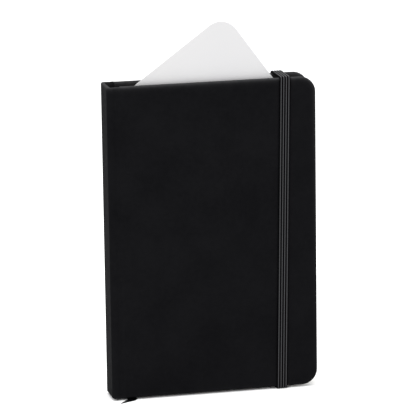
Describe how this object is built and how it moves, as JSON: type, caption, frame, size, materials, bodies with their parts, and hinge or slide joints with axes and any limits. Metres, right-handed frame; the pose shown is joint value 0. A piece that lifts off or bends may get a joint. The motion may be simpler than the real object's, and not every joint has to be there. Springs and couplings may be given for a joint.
{
  "type": "pocket notebook",
  "caption": "Black hardcover pocket notebook with rounded fore-edge corners, an elastic closure band, a ribbon marker and a blank card tucked behind the front cover",
  "frame": {"origin": "centre of the notebook's footprint, in the plane it stands on, measured over the cover faces and the band, without the ribbon", "axes": "+X from the spine to the fore edge, -Y out of the front cover, +Y out of the back cover, +Z from tail to head; the notebook stands closed on its tail"},
  "size_m": [0.0936, 0.0195, 0.1668],
  "materials": {
    "leatherette": "fine-grained matt black coated cloth",
    "greyboard": "raw grey board",
    "endpaper": "ivory, smooth",
    "page_paper": "ivory, uncoated",
    "thread": "waxed linen",
    "lining": "gauze glued under paper",
    "ribbon": "black satin weave",
    "elastic": "black ribbed braid",
    "card": "blank white card, smooth"
  },
  "bodies": {
    "text_block": {"spine_board": "greyboard", "spine_wrap": "leatherette", "front_joint_strip": "leatherette", "back_joint_strip": "leatherette", "spine_lining": "lining", "sewing_thread_1": "thread", "sewing_thread_2": "thread", "sewing_thread_3": "thread", "sewing_thread_4": "thread", "page_gathering_2": "page_paper", "page_gathering_3": "page_paper", "page_gathering_4": "page_paper", "page_gathering_5": "page_paper", "page_gathering_6": "page_paper", "page_gathering_7": "page_paper", "page_gathering_8": "page_paper", "back_flyleaf": "endpaper", "ribbon_marker": "ribbon"},
    "front_cover": {"front_cover_board": "greyboard", "front_cover_wrap": "leatherette", "front_pastedown": "endpaper"},
    "front_leaves": {"front_flyleaf": "endpaper", "page_gathering_1": "page_paper"},
    "back_cover": {"back_cover_board": "greyboard", "back_cover_wrap": "leatherette", "back_pastedown": "endpaper"},
    "closure_band": {"closure_band": "elastic"},
    "note_card": {"note_card": "card"}
  },
  "joints": [
    {"name": "front_cover_open", "type": "hinge", "parent": "text_block", "child": "front_cover", "pos_m": [-0.044, -0.0061, 0.071], "axis": [0, 0, -1], "range_deg": [0, 180], "deforming": ["front_joint_strip"]},
    {"name": "front_leaves_turn", "type": "hinge", "parent": "text_block", "child": "front_leaves", "pos_m": [-0.044, -0.0061, 0.071], "axis": [0, 0, -1], "range_deg": [0, 166]},
    {"name": "back_cover_open", "type": "hinge", "parent": "text_block", "child": "back_cover", "pos_m": [-0.044, 0.0061, 0.071], "axis": [0, 0, 1], "range_deg": [0, 180], "deforming": ["back_joint_strip"]},
    {"name": "closure_band_release", "type": "hinge", "parent": "back_cover", "child": "closure_band", "pos_m": [0.03145, 0.00045, 0.071], "axis": [0, 0, 1], "range_deg": [0, 180], "deforming": ["closure_band"]},
    {"name": "note_card_slide", "type": "slide", "parent": "front_leaves", "child": "note_card", "axis": [-0.5878, 0, 0.809], "range_m": [0, 0.07]}
  ],
  "couplings": [
    {"joint": "front_leaves_turn", "follows": "front_cover_open", "ratio": 0.92}
  ]
}
